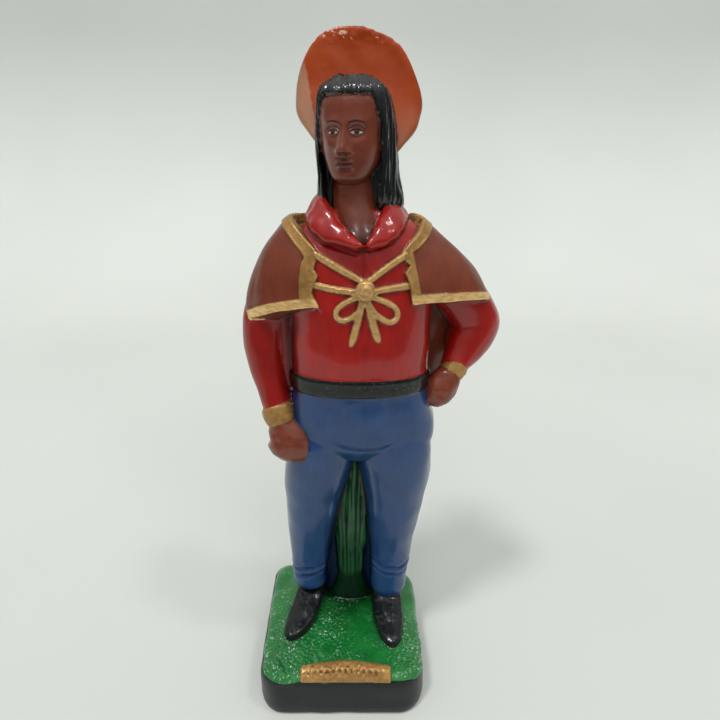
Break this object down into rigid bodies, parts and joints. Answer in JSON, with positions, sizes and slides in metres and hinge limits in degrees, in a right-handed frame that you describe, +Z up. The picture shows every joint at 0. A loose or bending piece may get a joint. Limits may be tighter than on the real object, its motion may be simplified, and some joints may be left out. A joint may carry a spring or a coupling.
{
  "type": "plaster statuette",
  "caption": "Painted plaster statuette of a standing man in a wide hat, tied short cape, shirt, belt and trousers, on a rounded square base with a small name plate.",
  "frame": {"origin": "centre of the base's underside, on the surface that the statuette stands on", "axes": "+Z up along the figure, the figure faces -Y, and +X is to the viewer's right"},
  "size_m": [0.1146, 0.079, 0.3006],
  "materials": {
    "painted_plaster": "glossy brushed enamel in many colours over cast plaster"
  },
  "bodies": {
    "root": {"plaster_statuette": "painted_plaster"}
  },
  "joints": []
}
